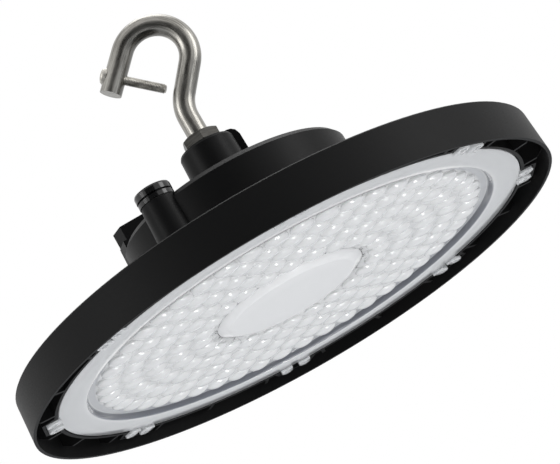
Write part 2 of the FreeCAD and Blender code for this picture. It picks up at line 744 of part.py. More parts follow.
gland_nut = new_body("cable_gland_nut")
nut_foot = dims.gland_collar + dims.gland_nut_gap
nut_sketch = new_sketch(gland_nut, "gland_nut_form", "XY_Plane", lift=nut_foot)
outline(nut_sketch, hexagon(dims.gland_width, zero))
pad(gland_nut, nut_sketch, "gland_nut_hexagon", dims.gland_nut_length * 0.6)
nut_end = nut_foot + dims.gland_nut_length
nut_mid = nut_foot + dims.gland_nut_length * 0.55
revolve(gland_nut, "gland_nut_dome", [
    (0, nut_mid), (dims.gland_width / 2 - 0.2, nut_mid),
    (dims.gland_width / 2 - 0.8, nut_end - 2.4), (dims.gland_width / 2 - 3.4, nut_end), (0, nut_end)])
revolve(gland_nut, "gland_nut_way", [
    (0, nut_foot - 1), (dims.gland_thread / 2 + dims.thread_gap, nut_foot - 1),
    (dims.gland_thread / 2 + dims.thread_gap, dims.gland_collar + 9.4),
    (dims.gland_cable / 2 + 0.6, dims.gland_collar + 10.4), (dims.gland_cable / 2 + 0.6, nut_end + 1),
    (0, nut_end + 1)], cut=True)
point_along_y(gland_nut, dims.gland_z, dims.gland_face)

gland_locknut = hex_nut("cable_gland_locknut", dims.locknut_width,
                        dims.gland_thread / 2 + dims.thread_gap, dims.locknut_thick, zero, as_size(0.8))
point_along_y(gland_locknut, dims.gland_z, gland_flat - dims.locknut_thick)

# ------------------------------------------------ led_board and thermal_pad
board_top = dims.plate_bottom - dims.pad_thick
board_bottom = board_top - dims.board_thick
for label, low, high, edge in (("led_board", board_bottom, board_top, dims.board_radius),
                               ("thermal_pad", board_top, dims.plate_bottom, dims.board_radius - 1)):
    body = new_body(label)
    disc_sketch = new_sketch(body, label + "_form", "XY_Plane", lift=low)
    ring(disc_sketch, 0, 0, edge)
    for turn_index in range(4):
        angle = dims.board_screw_angle + 90 * turn_index
        ring(disc_sketch, dims.board_screw_circle * cos_of(angle),
             dims.board_screw_circle * sin_of(angle), dims.board_screw_size / 2 + dims.thread_gap)
    if label == "thermal_pad":
        ring(disc_sketch, dims.lead_x, 0, dims.lead_hole / 2)
        for turn_index in range(4):
            angle = dims.post_angle + 90 * turn_index
            ring(disc_sketch, dims.post_circle * cos_of(angle), dims.post_circle * sin_of(angle),
                 dims.m4_head / 2 + dims.fit_gap)
    pad(body, disc_sketch, label + "_disc", high - low)

# ------------------------------------------------------------------ screws
board_screws = new_body("board_screws")
board_screws.AllowCompound = True
revolve(board_screws, "board_screw", screw_form(
    dims.board_screw_size, 6.4, dims.board_screw_size * 1.9, as_size(1.2), board_bottom),
    x=board_screw_x, y=board_screw_y)
around(board_screws, "board_screw_set", [board_screws.Tip], 4)

housing_screws = new_body("housing_screws")
housing_screws.AllowCompound = True
housing_seat = dims.plate_bottom + dims.m4_head_thick + dims.fit_gap
revolve(housing_screws, "housing_screw", screw_form(
    as_size(4.0), 13.0, dims.m4_head, dims.m4_head_thick, housing_seat), x=post_x, y=post_y)
around(housing_screws, "housing_screw_set", [housing_screws.Tip], 4)

module_screws = new_body("driver_module_screws")
module_screws.AllowCompound = True
for side, name in ((1, "near"), (-1, "far")):
    revolve(module_screws, "module_screw_" + name, screw_form(
        as_size(4.0), 6.6, dims.m4_head, dims.m4_head_thick, plate_top + dims.module_ear_thick, up=False),
        x=-dims.module_shift, y=side * ear_y)

# ------------------------------------------------------------ driver_module
module = new_body("driver_module")
case_sketch = new_sketch(module, "case_form", "XY_Plane", lift=plate_top)
left = -(dims.module_shift + dims.module_long / 2)
right = dims.module_long / 2 - dims.module_shift
outline(case_sketch, [
    (left, -(dims.module_wide / 2)), (right, -(dims.module_wide / 2)),
    (right, dims.module_wide / 2), (left, dims.module_wide / 2)])
pad(module, case_sketch, "case", dims.module_tall)
lip_sketch = new_sketch(module, "ear_form", "XY_Plane", lift=plate_top)
lip_y = dims.module_wide / 2 + dims.module_ear
outline(lip_sketch, [
    (-(dims.module_shift + 7), -lip_y), (7 - dims.module_shift, -lip_y), (7 - dims.module_shift, lip_y),
    (-(dims.module_shift + 7), lip_y)])
pad(module, lip_sketch, "ears", dims.module_ear_thick)
for side, name in ((1, "near"), (-1, "far")):
    hole_sketch = new_sketch(module, "ear_hole_form_" + name, "XY_Plane", lift=plate_top)
    ring(hole_sketch, -dims.module_shift, side * ear_y, dims.m4_hole / 2)
    pocket(module, hole_sketch, "ear_hole_" + name, dims.module_ear_thick, reverse=True)

# ---------------------------------------------------- lead_grommet and leads
grommet = new_body("lead_grommet")
revolve(grommet, "grommet", [
    (dims.lead_size + 1.0, dims.plate_bottom), (dims.lead_hole / 2 - 0.05, dims.plate_bottom),
    (dims.lead_hole / 2 - 0.05, plate_top), (dims.lead_hole / 2 + 1.6, plate_top),
    (dims.lead_hole / 2 + 1.6, plate_top + 1.2), (dims.lead_size + 1.0, plate_top + 1.2)])
place(grommet, x=dims.lead_x)

leads = new_body("led_leads")
leads.AllowCompound = True
lead_bend = as_size(4.0)
lead_high = plate_top + 10
lead_path = new_sketch(leads, "lead_path")
drop = lead_path.addGeometry(Part.LineSegment(
    FreeCAD.Vector(dims.lead_x.value, board_top.value, 0),
    FreeCAD.Vector(dims.lead_x.value, (lead_high - lead_bend).value, 0)))
across = lead_path.addGeometry(Part.LineSegment(
    FreeCAD.Vector((dims.lead_x - lead_bend).value, lead_high.value, 0),
    FreeCAD.Vector(right.value, lead_high.value, 0)))
hold(lead_path, drop, 1, "X", dims.lead_x)
hold(lead_path, drop, 1, "Y", board_top)
hold(lead_path, drop, 2, "X", dims.lead_x)
hold(lead_path, drop, 2, "Y", lead_high - lead_bend)
hold(lead_path, across, 1, "X", dims.lead_x - lead_bend)
hold(lead_path, across, 1, "Y", lead_high)
hold(lead_path, across, 2, "X", right)
hold(lead_path, across, 2, "Y", lead_high)
corner = arc_between(lead_path, dims.lead_x - lead_bend, lead_high - lead_bend, lead_bend,
                     (dims.lead_x, lead_high - lead_bend), (dims.lead_x - lead_bend, lead_high))
lead_path.addConstraint(Sketcher.Constraint("Coincident", corner, 1, drop, 2))
lead_path.addConstraint(Sketcher.Constraint("Coincident", corner, 2, across, 1))
for side, name in ((1, "plus"), (-1, "minus")):
    section = new_sketch(leads, "lead_section_" + name, "XY_Plane", lift=board_top)
    ring(section, dims.lead_x, side * dims.lead_pitch / 2, dims.lead_size / 2)
    doc.recompute()
    lead = leads.newObject("PartDesign::AdditivePipe", "lead_" + name)
    lead.Profile = section
    lead.Spine = lead_path
    leads.Tip = lead
    doc.recompute()

# -------------------------------------------------------------- lens_cover
lens = new_body("lens_plate")
window_top = dims.window_bottom + dims.window_thick
shoulder = dims.ring_bore - dims.ledge_width - dims.fit_gap
flange_top_z = dims.flange_bottom + dims.flange_thick
revolve(lens, "lens_plate", [
    (0, window_top), (shoulder, window_top), (shoulder, flange_top_z),
    (dims.flange_radius, flange_top_z), (dims.flange_radius, dims.flange_bottom),
    (dims.step_radius, dims.flange_bottom), (dims.step_radius - dims.step_draft, dims.window_bottom),
    (dims.disc_radius, dims.window_bottom),
    (dims.disc_radius - dims.disc_slope, dims.window_bottom - dims.disc_drop),
    (0, dims.window_bottom - dims.disc_drop)])
tab_sketch = new_sketch(lens, "tab_form", "XY_Plane", lift=dims.tab_bottom, turn=dims.tab_angle)
tab_half = dims.tab_width / 2
lobe_end = tab_half - dims.tab_bevel
lobe_start = tab_half - dims.lobe_width
outline(tab_sketch, [
    (dims.flange_radius - dims.overlap, -tab_half), (dims.tab_reach - dims.tab_bevel, -tab_half),
    (dims.tab_reach, -lobe_end), (dims.tab_reach, -lobe_start - dims.tab_bevel),
    (dims.tab_reach - dims.lobe_gap, -lobe_start), (dims.tab_reach - dims.lobe_gap, lobe_start),
    (dims.tab_reach, lobe_start + dims.tab_bevel), (dims.tab_reach, lobe_end),
    (dims.tab_reach - dims.tab_bevel, tab_half), (dims.flange_radius - dims.overlap, tab_half)])
tab = pad(lens, tab_sketch, "tab", dims.tab_height)
open_sketch = new_sketch(lens, "tab_window_form", "XY_Plane", lift=dims.tab_bottom,
                         turn=dims.tab_angle)
eye_low = lobe_start + dims.tab_rib
eye_high = tab_half - dims.tab_rib
eye_root = dims.flange_radius + dims.tab_rib + 0.4
eye_end = dims.tab_reach - dims.tab_rib
outline(open_sketch,
        [(eye_root, eye_low), (eye_end, eye_low), (eye_end, eye_high), (eye_root, eye_high)],
        [(eye_root, -eye_high), (eye_end, -eye_high), (eye_end, -eye_low),
         (eye_root, -eye_low)])
tab_open = pocket(lens, open_sketch, "tab_window", dims.tab_height, reverse=True)
around(lens, "tabs", [tab, tab_open], dims.tab_count)

lenslets = new_body("lenslets")
lenslets.AllowCompound = True
lens_width = 2 * dims.lens_radius * cos_of(as_size(30))
domes = []
for ring_index in range(5):
    spread = dims.lens_circle - ring_index * dims.lens_pitch
    in_sector = 8 - ring_index
    loops = []
    for place_index in range(in_sector):
        angle = as_size(60.0 * (place_index + 0.5) / in_sector)
        loops.append(hexagon(lens_width, angle, spread * cos_of(angle),
                             spread * sin_of(angle)))
    dome_sketch = new_sketch(lenslets, "dome_form_%d" % ring_index, "XY_Plane",
                             lift=dims.window_bottom)
    outline(dome_sketch, *loops)
    domes.append(pad(lenslets, dome_sketch, "domes_%d" % ring_index, dims.lens_drop,
                     reverse=True))
around(lenslets, "dome_set", domes, 6, refine=False)
lens_cover = doc.addObject("Part::MultiFuse", "lens_cover")
lens_cover.Label = "lens_cover"
lens_cover.Shapes = [lens, lenslets]
lens_cover.Refine = False
doc.recompute()

lens_gasket = new_body("lens_gasket")
revolve(lens_gasket, "lens_gasket_ring", [
    (dims.lens_gasket_in, flange_top_z), (dims.lens_gasket_out, flange_top_z),
    (dims.lens_gasket_out, ledge_bottom), (dims.lens_gasket_in, ledge_bottom)])

# ------------------------------------------------------------------ export
doc.recompute()
faults = []
for item in doc.Objects:
    if "Invalid" in item.State or "Error" in item.State:
        faults.append(item.Name)
if faults:
    raise RuntimeError("not built: " + ", ".join(faults))
os.makedirs("parts", exist_ok=True)
inner = (lens, lenslets)
for item in doc.Objects:
    if item.TypeId not in ("PartDesign::Body", "Part::MultiFuse") or item in inner:
        continue
    shape = item.Shape
    if shape.isNull() or not shape.isValid() or not shape.Solids:
        raise RuntimeError("bad shape: " + item.Label)
    shape.exportStep("parts/%s.step" % item.Label)
    print(item.Label, len(shape.Solids), round(shape.Volume / 1000.0, 2))
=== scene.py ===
import json
import math

import bmesh
import bpy
from mathutils import Matrix, Vector, geometry


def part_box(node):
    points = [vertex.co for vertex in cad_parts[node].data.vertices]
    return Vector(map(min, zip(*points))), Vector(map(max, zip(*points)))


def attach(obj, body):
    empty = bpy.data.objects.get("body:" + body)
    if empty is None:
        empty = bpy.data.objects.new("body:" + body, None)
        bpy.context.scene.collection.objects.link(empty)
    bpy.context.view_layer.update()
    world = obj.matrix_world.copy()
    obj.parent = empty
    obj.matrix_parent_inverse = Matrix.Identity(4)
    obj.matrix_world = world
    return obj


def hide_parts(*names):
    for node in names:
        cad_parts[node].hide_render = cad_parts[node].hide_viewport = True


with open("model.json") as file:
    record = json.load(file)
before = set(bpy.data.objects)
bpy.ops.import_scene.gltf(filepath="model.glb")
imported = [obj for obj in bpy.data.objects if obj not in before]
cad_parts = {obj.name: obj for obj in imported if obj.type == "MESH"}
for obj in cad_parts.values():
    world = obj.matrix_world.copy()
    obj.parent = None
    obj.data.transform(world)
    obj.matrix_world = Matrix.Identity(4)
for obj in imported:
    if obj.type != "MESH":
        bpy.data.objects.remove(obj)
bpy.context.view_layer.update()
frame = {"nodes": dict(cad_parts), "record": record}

MM = 0.001
SHARP_ANGLE = math.radians(35.0)
record = frame["record"]
nodes = frame["nodes"]


# ------------------------------------------------------------ shader helpers
class Wire:
    """A socket that can be used in sums, products and comparisons."""

    def __init__(self, paint, socket):
        self.paint = paint
        self.socket = socket

    def _math(self, operation, *terms):
        return self.paint.node("ShaderNodeMath", {"operation": operation},
                               dict(enumerate(terms)))

    def __add__(self, other):
        return self._math("ADD", self, other)

    def __radd__(self, other):
        return self._math("ADD", other, self)

    def __sub__(self, other):
        return self._math("SUBTRACT", self, other)

    def __rsub__(self, other):
        return self._math("SUBTRACT", other, self)

    def __mul__(self, other):
        return self._math("MULTIPLY", self, other)

    def larger(self, other):
        return self._math("MAXIMUM", self, other)

    def span(self, low, high):
        """0 below low, 1 above high, a smooth step between."""
        return self.paint.node(
            "ShaderNodeMapRange", {"interpolation_type": "SMOOTHSTEP"},
            {"Value": self, "From Min": low, "From Max": high})

    def band(self, low, full_low, full_high, high):
        """1 between the two full values, 0 outside low and high."""
        return self.span(low, full_low) * (1.0 - self.span(full_high, high))


class Paint:
    """The node tree of one material or world."""

    def __init__(self, owner):
        self.owner = owner
        owner.use_nodes = True
        self.tree = owner.node_tree
        self.tree.nodes.clear()

    def node(self, kind, settings=None, sockets=None, out=0):
        """Add a node, set it up, fill its sockets and return one of its outputs."""
        made = self.tree.nodes.new(kind)
        for key, value in (settings or {}).items():
            setattr(made, key, value)
        for key, value in (sockets or {}).items():
            socket = made.inputs[key]
            if isinstance(value, Wire):
                self.tree.links.new(value.socket, socket)
            elif isinstance(value, tuple) and len(value) < len(socket.default_value):
                socket.default_value = (*value, 1.0)
            else:
                socket.default_value = value
        return Wire(self, made.outputs[out]) if made.outputs else made

    def mix(self, factor, first, second):
        """Blend two colours; the numbers are the colour sockets of the mix node."""
        return self.node("ShaderNodeMix", {"data_type": "RGBA"},
                         {0: factor, 6: first, 7: second}, out=2)

    def where(self, stretch=None):
        """Position on the part in metres, with each axis stretched if asked."""
        place = self.node("ShaderNodeTexCoord", out="Object")
        if stretch is None:
            return place
        return self.node("ShaderNodeVectorMath", {"operation": "MULTIPLY"},
                         {0: place, 1: stretch})

    def noise(self, scale, detail=2.0, rough=0.5, place=None):
        return self.node("ShaderNodeTexNoise", None, {
            "Vector": place or self.where(), "Scale": scale, "Detail": detail,
            "Roughness": rough})

    def bump(self, height, distance, strength):
        return self.node("ShaderNodeBump", None, {
            "Height": height, "Distance": distance, "Strength": strength})

    def principled(self, **sockets):
        """A Principled shader; an underscore in a socket's name is a space."""
        return self.node("ShaderNodeBsdfPrincipled", None, {
            key.replace("_", " "): value for key, value in sockets.items()})

    def output(self, surface):
        self.node("ShaderNodeOutputMaterial", None, {"Surface": surface})
        return self.owner

    def finish(self, **sockets):
        return self.output(self.principled(**sockets))


def new_paint(name):
    return Paint(bpy.data.materials.new(name))


def grey(level):
    return (level, level, level)


# ----------------------------------------------------------------- materials
def powder_coat(name, level, rough):
    """Black powder coat: an orange-peel grain, cloudy tone and faint dust."""
    paint = new_paint(name)
    grain = paint.noise(1500.0, 3.0)
    peel = paint.noise(420.0)
    cloud = paint.noise(18.0, 3.0)
    dust = paint.noise(2600.0, 1.0).span(0.66, 0.8)
    tone = paint.mix(cloud, (level, level, level * 1.03), grey(level * 1.5))
    tone = paint.mix(dust * 0.12, tone, grey(0.05))
    return paint.finish(
        Base_Color=tone, Roughness=rough + (grain - 0.5) * 0.2, Specular_IOR_Level=0.1,
        Normal=paint.bump(grain + peel * 2.0, 0.00004, 0.3))


def moulded_black(name, level, rough, shine):
    """Smooth black plastic with faint flow marks."""
    paint = new_paint(name)
    flow = paint.noise(60.0)
    return paint.finish(
        Base_Color=paint.mix(flow, grey(level), grey(level * 1.6)),
        Roughness=rough + (flow - 0.5) * 0.08, Specular_IOR_Level=shine,
        Normal=paint.bump(flow, 0.00003, 0.2))


def drawn_steel(name, level, rough, along, depth):
    """Steel with draw marks; along says how fast they change on each axis."""
    def tint(share, green, blue):
        return (level * share, level * green, level * blue)

    paint = new_paint(name)
    marks = paint.noise(1.0, 5.0, 0.65, paint.where(along))
    fine = paint.noise(1100.0, 3.0)
    dirt = paint.noise(90.0, 3.0).span(0.35, 0.75)
    tone = paint.mix(marks.span(0.3, 0.7), tint(0.5, 0.48, 0.44), tint(1.15, 1.12, 1.04))
    tone = paint.mix(dirt * 0.25, tone, tint(0.45, 0.42, 0.37))
    return paint.finish(
        Base_Color=tone, Roughness=rough + (marks - 0.5) * 0.25, Metallic=1.0,
        Normal=paint.bump(marks * 2.0 + fine * 0.4, 0.00004, depth))


def soft_seal(name, low, high):
    """Matt rubber with a cloudy bloom."""
    paint = new_paint(name)
    fine = paint.noise(700.0, 3.0)
    bloom = paint.noise(40.0)
    return paint.finish(
        Base_Color=paint.mix(bloom, grey(low), grey(high)),
        Roughness=0.7 + (fine - 0.5) * 0.2, Specular_IOR_Level=0.3,
        Normal=paint.bump(fine, 0.00005, 0.3))


def satin_plastic(name, colour):
    """An even light plastic or lacquer, slightly cloudy."""
    paint = new_paint(name)
    fine = paint.noise(900.0)
    cloud = paint.noise(30.0)
    darker = tuple(channel * 0.96 for channel in colour)
    return paint.finish(
        Base_Color=paint.mix(cloud, colour, darker),
        Roughness=0.45 + (fine - 0.5) * 0.1, Normal=paint.bump(fine, 0.00002, 0.2))


def moulded_lens(name):
    """Hazy clear plastic in rings of tone; the radii are in metres.

    Light and shade are painted into the colour by radius: the middle is painted whitest as
    painted light, the outer band a little grey as painted shade, and the ring at the
    plate's edge and the recess's side dark as painted shade for the step and for the rim's
    dark floor seen through them.
    """
    paint = new_paint(name)
    haze = paint.noise(35.0, 3.0)
    grain = paint.noise(900.0)
    radius = paint.node("ShaderNodeVectorMath", {"operation": "LENGTH"},
                        {0: paint.where((1.0, 1.0, 0.0))}, out=1)
    # masks by radius for the painted light on the middle and the painted shade on the ring
    # at the plate's edge, the recess's side and the outer band
    painted_light_disc = 1.0 - radius.span(0.036, 0.041)
    painted_shade_edge_ring = radius.band(0.1035, 0.1050, 0.1075, 0.1085)
    painted_shade_wall = radius.band(0.1078, 0.1088, 0.1098, 0.1106)
    painted_shade_flange = radius.span(0.1100, 0.1125)
    tone = paint.mix(haze, (0.88, 0.89, 0.90), (0.94, 0.945, 0.95))
    # lay the painted light and painted shade into the colour, ring by ring
    for place, colour in ((painted_light_disc * 0.8, (0.99, 0.99, 0.99)),
                          (painted_shade_flange * 0.7, (0.74, 0.76, 0.78)),
                          (painted_shade_edge_ring * 0.7, (0.42, 0.44, 0.48)),
                          (painted_shade_wall * 0.9, (0.09, 0.10, 0.13))):
        tone = paint.mix(place, tone, colour)
    return paint.finish(
        Base_Color=tone, Roughness=0.13 + (grain - 0.5) * 0.05, IOR=1.49,
        Transmission_Weight=0.2, Specular_IOR_Level=0.6, Subsurface_Weight=0.8,
        Subsurface_Radius=(1.0, 1.0, 1.0), Subsurface_Scale=0.009,
        Coat_Weight=0.8, Coat_Roughness=0.05,
        Normal=paint.bump(grain, 0.00001, 0.2))


rod_marks = (60.0, 2600.0, 60.0)
nut_marks = (160.0, 160.0, 900.0)
rim_coat = powder_coat("rim_powder_coat", 0.005, 0.5)
drum_coat = powder_coat("drum_powder_coat", 0.006, 0.42)
hub_coat = powder_coat("hub_powder_coat", 0.005, 0.4)
gland_coat = powder_coat("gland_satin_black", 0.008, 0.35)
cap_black = moulded_black("port_cap_gloss", 0.006, 0.14, 0.5)
hook_steel = drawn_steel("hook_satin_stainless", 0.36, 0.29, rod_marks, 0.45)
nut_steel = drawn_steel("screw_plain_stainless_dull", 0.33, 0.36, nut_marks, 0.12)
dark_steel = drawn_steel("lock_nut_dark_steel", 0.045, 0.38, nut_marks, 0.12)
screw_steel = drawn_steel("screw_plain_stainless", 0.62, 0.42, grey(200.0), 0.08)
seal_black = soft_seal("seal_black_rubber", 0.012, 0.02)
silicone = soft_seal("grey_silicone", 0.42, 0.5)
board_white = satin_plastic("white_solder_mask", (0.86, 0.86, 0.84))
case_white = satin_plastic("module_white_case", (0.75, 0.75, 0.73))
wire_white = satin_plastic("white_wire_jacket", (0.8, 0.8, 0.8))
phosphor = satin_plastic("led_pale_phosphor", (0.85, 0.80, 0.62))
lens_plastic = moulded_lens("clear_lens_plastic")

slot_paints = {
    "housing_paint": rim_coat, "gland_metal": gland_coat, "hook_steel": hook_steel,
    "nut_steel": nut_steel, "cap_plastic": cap_black, "seal_rubber": seal_black,
    "clear_rubber": silicone, "lens_plastic": lens_plastic, "board_white": board_white,
    "pad_grey": silicone, "module_case": case_white, "wire_white": wire_white}
own_paints = {"driver_housing": drum_coat, "hook_hub": hub_coat,
              "hook_lock_nut": dark_steel}
for part in record["subparts"]:
    name = part["node"]
    mesh = nodes[name].data
    mesh.materials.clear()
    mesh.materials.append(own_paints.get(name, slot_paints[part["material_slot"]]))


# ---------------------------------------------------------------- mesh work
def placed(name, data):
    """A new object in the scene that holds the data."""
    made = bpy.data.objects.new(name, data)
    bpy.context.scene.collection.objects.link(made)
    return made


def pointed(place, way, axis):
    """The matrix that moves to a place and turns the axis along a way."""
    turned_to = way.to_track_quat(axis, "Y").to_matrix().to_4x4()
    return Matrix.Translation(place) @ turned_to


def piece(name, mesh, paint, body="root"):
    """Put a finished mesh in mm in the scene as a piece that rides on a body."""
    mesh.normal_update()
    bmesh.ops.recalc_face_normals(mesh, faces=mesh.faces)
    bmesh.ops.scale(mesh, vec=(MM, MM, MM), verts=mesh.verts)
    data = bpy.data.meshes.new(name)
    mesh.to_mesh(data)
    mesh.free()
    data.materials.append(paint)
    for face in data.polygons:
        face.use_smooth = True
    data.set_sharp_from_angle(angle=SHARP_ANGLE)
    made = placed(name, data)
    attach(made, body)
    return made


def circle(mesh, radius, z, count, centre=(0.0, 0.0)):
    """A ring of vertices; one vertex when the radius is 0."""
    if radius == 0:
        return [mesh.verts.new((centre[0], centre[1], z))]
    ring = []
    for step in range(count):
        angle = 2 * math.pi * step / count
        ring.append(mesh.verts.new((centre[0] + radius * math.cos(angle),
                                    centre[1] + radius * math.sin(angle), z)))
    return ring


def skin(mesh, first, second):
    """Faces between two rings, or between a ring and its middle."""
    count = max(len(first), len(second))
    for step in range(count):
        after = (step + 1) % count
        if len(first) == 1:
            mesh.faces.new((first[0], second[step], second[after]))
        elif len(second) == 1:
            mesh.faces.new((first[step], first[after], second[0]))
        else:
            mesh.faces.new((first[step], first[after], second[after], second[step]))


def skin_all(mesh, rings):
    """Faces from each ring to the next."""
    for near, far in zip(rings, rings[1:]):
        skin(mesh, near, far)


def turned(mesh, profile, count, first=None):
    """Turn a profile of (radius, height) about the Z axis, after a first ring if given."""
    rings = [first] if first else []
    rings += [circle(mesh, radius, z, count) for radius, z in profile]
    skin_all(mesh, rings)


def flat_sheet(mesh, loops, keep):
    """Fill between rings of vertices, seen from above, where keep says so."""
    verts = [vert for loop in loops for vert in loop]
    edges = []
    base = 0
    for loop in loops:
        for step in range(len(loop)):
            edges.append((base + step, base + (step + 1) % len(loop)))
        base += len(loop)
    points = [Vector((vert.co.x, vert.co.y)) for vert in verts]
    corners, _, faces, origins, _, _ = geometry.delaunay_2d_cdt(
        points, edges, [], 0, 1e-5)
    for face in faces:
        middle = sum((corners[corner] for corner in face), Vector((0.0, 0.0))) / len(face)
        if keep(middle):
            mesh.faces.new([verts[origins[corner][0]] for corner in face])


# ----------------------------------------- lens moulding: sizes in mm, front down
lens_low, lens_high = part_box("lens_cover")
gasket_low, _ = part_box("lens_gasket")
lens_back = lens_high.z / MM
flange_back = gasket_low.z / MM
flange_front = flange_back - 2.0
flange_edge = 124.8
shoulder = 112.2
plate_front = lens_back - 1.6
plate_edge = 108.5
recess_foot = 108.8
recess_edge = 110.0
disc_edge = 39.5
disc_flat = 33.5
disc_front = plate_front - 2.4
lens_sides = 240

lens = bmesh.new()
plate_in = circle(lens, disc_edge, plate_front, lens_sides)
plate_out = circle(lens, plate_edge, plate_front, lens_sides)
disc_profile = [
    (disc_edge - 0.6, plate_front - 0.1), (disc_edge - 1.2, plate_front - 0.4),
    (disc_flat + 1.0, disc_front + 0.35), (disc_flat + 0.3, disc_front + 0.07),
    (disc_flat - 0.8, disc_front), (20.0, disc_front - 0.02), (0, disc_front - 0.04)]
turned(lens, disc_profile, lens_sides, plate_in)
recess_profile = [
    (recess_foot + 0.2, plate_front - 0.2), (recess_foot + 0.45, plate_front - 0.7),
    (recess_edge - 0.35, flange_front + 0.7), (recess_edge, flange_front + 0.2),
    (recess_edge + 0.5, flange_front)]
flange_profile = [
    (117.0, flange_front), (flange_edge - 0.6, flange_front),
    (flange_edge - 0.15, flange_front + 0.2), (flange_edge, flange_front + 0.6),
    (flange_edge, flange_back), (shoulder, flange_back)]
back_profile = [
    (shoulder, lens_back - 0.3), (shoulder - 0.3, lens_back), (60.0, lens_back),
    (0, lens_back)]
turned(lens, recess_profile + flange_profile + back_profile, lens_sides, plate_out)

# lenslets: rounded studs in rings, which grow out of a thicker ring of the plate
lenslet_radius = 6.12
lenslet_sides = 28
lenslet_rise = 2.9
lenslet_round = 6.6
lenslet_steps = (6.1, 5.75, 5.2, 4.5, 3.6, 2.5, 1.3, 0)
lenslet_step_down = 0.02
row_count = 5
outer_row = 98.0
row_spacing = 12.4
outer_row_total = 48
row_total_step = 6
web_rise = 1.1
web_inner = 42.5
web_inner_width = 3.0
web_outer = 101.0
web_outer_width = 3.5
disc_margin = 0.2
side_share = 0.985

lenslets = []
for row in range(row_count):
    spread = outer_row - row_spacing * row
    total = outer_row_total - row_total_step * row
    for step in range(total):
        angle = 2 * math.pi * (step + 0.5) / total
        lenslets.append((spread * math.cos(angle), spread * math.sin(angle)))


def web_level(x, y):
    """Height of the plate's front, which is smoothly thicker between the lenslets."""
    radius = math.hypot(x, y)
    inner = min(1.0, max(0.0, (radius - web_inner) / web_inner_width))
    outer = min(1.0, max(0.0, (web_outer - radius) / web_outer_width))
    rise = min(inner, outer)
    return plate_front - web_rise * rise * rise * (3 - 2 * rise)


loops = [plate_in, plate_out]
for x, y in lenslets:
    foot = circle(lens, lenslet_radius, plate_front, lenslet_sides, (x, y))
    loops.append(foot)
    foot_levels = [web_level(vert.co.x, vert.co.y) for vert in foot]
    for vert, level in zip(foot, foot_levels):
        vert.co.z = level
    rings = [foot]
    for order, radius in enumerate(lenslet_steps):
        z = plate_front - lenslet_rise * math.sqrt(1 - (radius / lenslet_round) ** 2)
        ring = circle(lens, radius, z, lenslet_sides, (x, y))
        if radius:
            for vert, level in zip(ring, foot_levels):
                vert.co.z = min(z, level - lenslet_step_down * (order + 1))
        rings.append(ring)
    skin_all(lens, rings)


def on_plate(point):
    """Whether a point lies on the plate between the lenslets.

    The rings have straight sides, so they lie a little inside their circles.
    """
    if not disc_edge - disc_margin < point.length < recess_foot:
        return False
    clear = (lenslet_radius * side_share) ** 2
    return all((point.x - x) ** 2 + (point.y - y) ** 2 > clear for x, y in lenslets)


flat_sheet(lens, loops, on_plate)

# side tabs: two lobes each, and an eye in each lobe
tab_low = lens_low.z / MM
tab_high = tab_low + 4.2
tab_count = 8
first_tab = 7.5
tab_half = 8.5
lobe_width = 6.6
lobe_middle = tab_half - lobe_width / 2
lobe_end = 131.6 - lobe_width / 2
lobe_root = flange_edge - 0.8
lobe_neck = flange_edge + 0.6
lobe_steps = 12
eye_radius = 1.75
eye_shift = 0.3
eye_middle = lobe_end - eye_shift
lobe_layers = ((0.0, tab_low + 0.5), (0.15, tab_low + 0.15), (0.5, tab_low),
               (0.5, tab_high), (0.15, tab_high - 0.15), (0.0, tab_high - 0.5))


def lobe_ring(mesh, inset, z):
    """The outline of a lobe that points along X, drawn in by an inset."""
    half = lobe_width / 2 - inset
    outline = [(lobe_root, -half), (lobe_neck, -half)]
    for step in range(lobe_steps + 1):
        angle = math.pi * (step / lobe_steps - 0.5)
        outline.append((lobe_end + half * math.cos(angle), half * math.sin(angle)))
    outline += [(lobe_neck, half), (lobe_root, half)]
    return [mesh.verts.new((x, y, z)) for x, y in outline]


def eye_ring(mesh, around, z):
    """The lobe's eye, with one vertex for each vertex of the ring around it."""
    ring = []
    for vert in around:
        angle = math.atan2(vert.co.y, vert.co.x - eye_middle)
        ring.append(mesh.verts.new((eye_middle + eye_radius * math.cos(angle),
                                    eye_radius * math.sin(angle), z)))
    return ring


for tab in range(tab_count):
    spin = Matrix.Rotation(math.radians(first_tab + 360.0 / tab_count * tab), 4, "Z")
    for side in (-1, 1):
        lobe = bmesh.new()
        layers = [lobe_ring(lobe, inset, z) for inset, z in lobe_layers]
        eyes = [eye_ring(lobe, layers[2], z) for z in (tab_low, tab_high)]
        skin_all(lobe, [layers[5], *layers[:3], *eyes, *layers[3:]])
        bmesh.ops.translate(lobe, vec=(0, side * lobe_middle, 0), verts=lobe.verts)
        bmesh.ops.transform(lobe, matrix=spin, verts=lobe.verts)
        bmesh.ops.recalc_face_normals(lobe, faces=lobe.faces)
        spare = bpy.data.meshes.new("lobe")
        lobe.to_mesh(spare)
        lobe.free()
        lens.from_mesh(spare)
        bpy.data.meshes.remove(spare)
lens_moulding = piece("lens_moulding", lens, lens_plastic)
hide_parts("lens_cover")

# ---------------------------------------------------------------- led packages
board_low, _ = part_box("led_board")
board_face = board_low.z / MM
package_layers = (
    (1.5, board_face), (1.5, board_face - 0.5), (1.35, board_face - 0.65),
    (1.0, board_face - 0.65), (0.9, board_face - 0.5))
chips = bmesh.new()
for x, y in lenslets:
    angle = math.atan2(y, x)
    rings = []
    for half, z in package_layers:
        ring = []
        for side_x, side_y in ((-1, -1), (1, -1), (1, 1), (-1, 1)):
            px, py = side_x * half, side_y * half
            ring.append(chips.verts.new(
                (x + px * math.cos(angle) - py * math.sin(angle),
                 y + px * math.sin(angle) + py * math.cos(angle), z)))
        rings.append(ring)
    skin_all(chips, rings)
    chips.faces.new(rings[-1])
    chips.faces.new(rings[0])
piece("led_packages", chips, phosphor)

